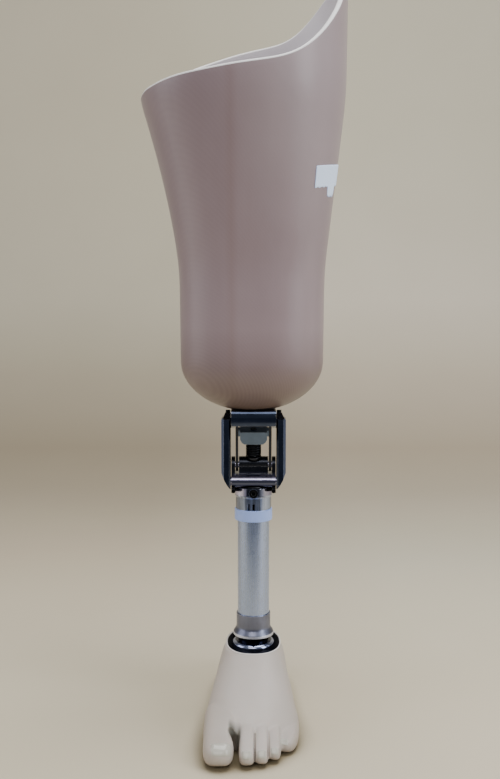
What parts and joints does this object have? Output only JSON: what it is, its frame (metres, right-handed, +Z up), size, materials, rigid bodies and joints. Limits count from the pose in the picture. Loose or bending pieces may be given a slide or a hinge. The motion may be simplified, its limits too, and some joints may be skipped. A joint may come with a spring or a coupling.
{
  "type": "prosthetic leg",
  "caption": "Left leg prosthesis for knee disarticulation: laminated thigh socket, crossed four-bar knee with extension assist, tube pylon and soft foot with toes.",
  "frame": {"origin": "on the floor under the pylon's axis, at the middle of the plug in the sole", "axes": "+Z up along the pylon, -Y to the front of the leg (the toes), +X to the lateral side of this left leg"},
  "size_m": [0.182, 0.2155, 0.6806],
  "materials": {
    "socket_laminate": "satin laminate, skin-toned",
    "pad_foam": "matte closed-cell foam",
    "plate_steel": "brushed",
    "black_screw": "black oxide",
    "dark_chrome": "dark polished chrome",
    "polished_steel": "polished",
    "bronze": "machined",
    "black_plastic": "matte",
    "black_steel": "black satin",
    "cup_grey": "satin blue-grey",
    "spring_black": "black oxide",
    "collar_white": "smooth moulded, bluish white",
    "tube_aluminium": "satin anodised",
    "clamp_steel": "turned, satin",
    "blue_chrome": "polished, bluish",
    "keel_black": "moulded black composite",
    "cushion_foam": "dense foam",
    "foot_skin": "smooth polyurethane skin"
  },
  "bodies": {
    "foot": {"tube_clamp": "clamp_steel", "clamp_screw": "black_screw", "foot_adapter": "blue_chrome", "foot_bolt": "black_screw", "foot_bolt_washer": "plate_steel", "foot_keel": "keel_black", "heel_cushion": "cushion_foam", "sole_plug": "foot_skin", "foot_shell": "foot_skin"},
    "shank": {"lower_frame": "black_steel", "front_hub_sleeve": "polished_steel", "lower_rear_axle": "polished_steel", "axle_lock_screws": "black_screw", "knee_pyramid": "plate_steel", "upper_tube_adapter": "polished_steel", "upper_set_screws": "black_screw", "tube_collar": "collar_white", "pylon_tube": "tube_aluminium"},
    "outer_links": {"outer_link_medial": "dark_chrome", "outer_link_lateral": "dark_chrome", "link_lock_screws": "black_screw", "lower_front_axle": "polished_steel", "stub_bushes": "bronze", "thrust_washers": "black_plastic"},
    "thigh": {"socket_shell": "socket_laminate", "distal_pad": "pad_foam", "anchor_plate": "plate_steel", "anchor_screws": "black_screw", "upper_frame": "dark_chrome", "upper_front_axle": "polished_steel", "upper_rear_stubs": "black_screw"},
    "inner_links": {"inner_link_medial": "black_steel", "inner_link_lateral": "black_steel", "assist_cup": "cup_grey", "assist_spring": "spring_black"},
    "plunger": {"assist_plunger": "black_steel"}
  },
  "joints": [
    {"name": "toe_out_turn", "type": "hinge", "parent": "foot", "child": "shank", "pos_m": [0, 0, 0.088], "axis": [0, 0, 1], "range_deg": [-15, 15]},
    {"name": "outer_link_swing", "type": "hinge", "parent": "shank", "child": "outer_links", "pos_m": [0, -0.012, 0.222], "axis": [-1, 0, 0], "range_deg": [0, 36.2]},
    {"name": "knee_flexion", "type": "hinge", "parent": "outer_links", "child": "thigh", "pos_m": [0, -0.0075, 0.276], "axis": [-1, 0, 0], "range_deg": [0, 78.8], "stiffness_Nm_per_rad": 0.6, "springref_deg": -34.38},
    {"name": "inner_link_swing", "type": "hinge", "parent": "shank", "child": "inner_links", "pos_m": [0, -0.0025, 0.236], "axis": [-1, 0, 0], "range_deg": [0, 62.4]},
    {"name": "plunger_slide", "type": "slide", "parent": "inner_links", "child": "plunger", "axis": [0, -0.2804, 0.9599], "range_m": [0, 0.0012], "deforming": ["assist_spring"]}
  ],
  "couplings": [
    {"joint": "outer_link_swing", "follows": "knee_flexion", "ratio": 0.45939},
    {"joint": "inner_link_swing", "follows": "knee_flexion", "ratio": 0.79188},
    {"joint": "plunger_slide", "follows": "knee_flexion", "m_per_rad": 0.00087251}
  ]
}
